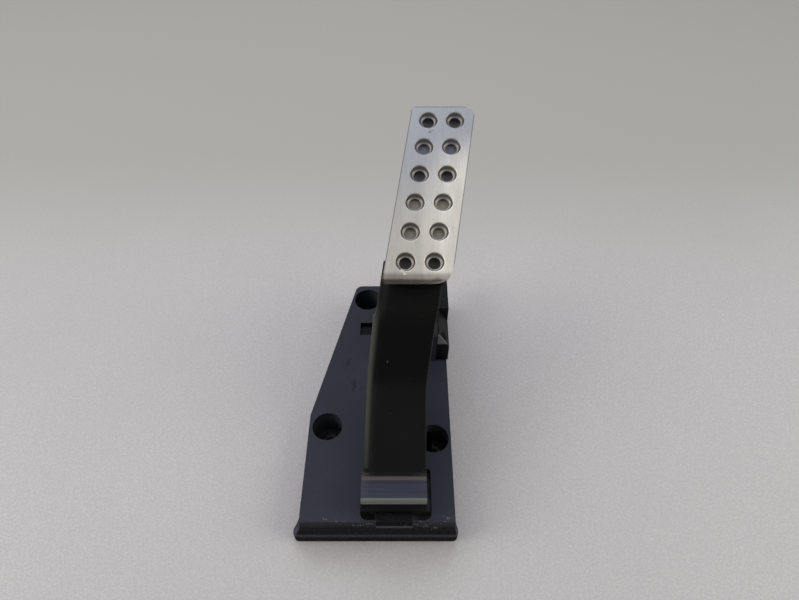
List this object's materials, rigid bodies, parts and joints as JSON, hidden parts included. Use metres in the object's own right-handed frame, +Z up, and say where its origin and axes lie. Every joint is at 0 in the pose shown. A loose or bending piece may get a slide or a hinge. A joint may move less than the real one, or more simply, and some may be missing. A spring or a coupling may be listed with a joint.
{
  "type": "accelerator pedal",
  "caption": "Floor-hinged accelerator pedal: moulded base, dog-leg arm, drilled metal foot pad, sensor housing with lever and return springs.",
  "frame": {"origin": "centre of the left mounting hole at the mounting face", "axes": "+Z up from the mounting face along the mounting hole, +Y away from the driver, +X to the driver's right"},
  "size_m": [0.1262, 0.2421, 0.1889],
  "materials": {
    "base_plastic": "fine grained black moulding",
    "arm_plastic": "smooth black moulding",
    "lever_plastic": "satin dark grey moulding",
    "slide_plastic": "natural acetal",
    "steel": "zinc plated",
    "spring_steel": "drawn spring wire",
    "pad_metal": "satin stainless sheet",
    "rubber": "matt",
    "board": "coated board",
    "chip": "moulded package",
    "contact": "plated contact",
    "magnet": "bonded ferrite"
  },
  "bodies": {
    "base": {"base_plate": "base_plastic", "sensor_housing": "base_plastic", "mount_sleeves": "steel", "hinge_pin": "steel", "pin_rings": "spring_steel", "side_cover": "base_plastic", "cover_seal": "rubber", "cover_screws": "steel", "rotor_pin": "steel", "sensor_board": "board", "sensor_chips": "chip", "connector_pins": "contact", "floor_stop": "rubber", "rest_stop": "rubber", "return_spring_left": "spring_steel", "return_spring_right": "spring_steel"},
    "pedal": {"pedal_arm": "arm_plastic", "hinge_bush_left": "slide_plastic", "hinge_bush_right": "slide_plastic", "cam_strip": "steel", "foot_pad": "pad_metal", "pad_studs": "steel", "pad_nuts": "steel", "pad_carrier": "arm_plastic"},
    "rotor": {"rotor_lever": "lever_plastic", "lever_shoe": "slide_plastic", "rotor_bush_left": "slide_plastic", "rotor_bush_right": "slide_plastic", "magnet_ring": "magnet"}
  },
  "joints": [
    {"name": "pedal_press", "type": "hinge", "parent": "base", "child": "pedal", "pos_m": [0.0495, -0.052, 0.04], "axis": [-1, 0, 0], "range_deg": [0, 15], "stiffness_Nm_per_rad": 8, "springref_deg": -20.05},
    {"name": "lever_turn", "type": "hinge", "parent": "base", "child": "rotor", "pos_m": [0.06, 0.095, 0.0485], "axis": [1, 0, 0], "range_deg": [0, 26.3], "deforming": ["return_spring_left", "return_spring_right"]}
  ],
  "couplings": [
    {"joint": "lever_turn", "follows": "pedal_press", "ratio": 1.75}
  ]
}
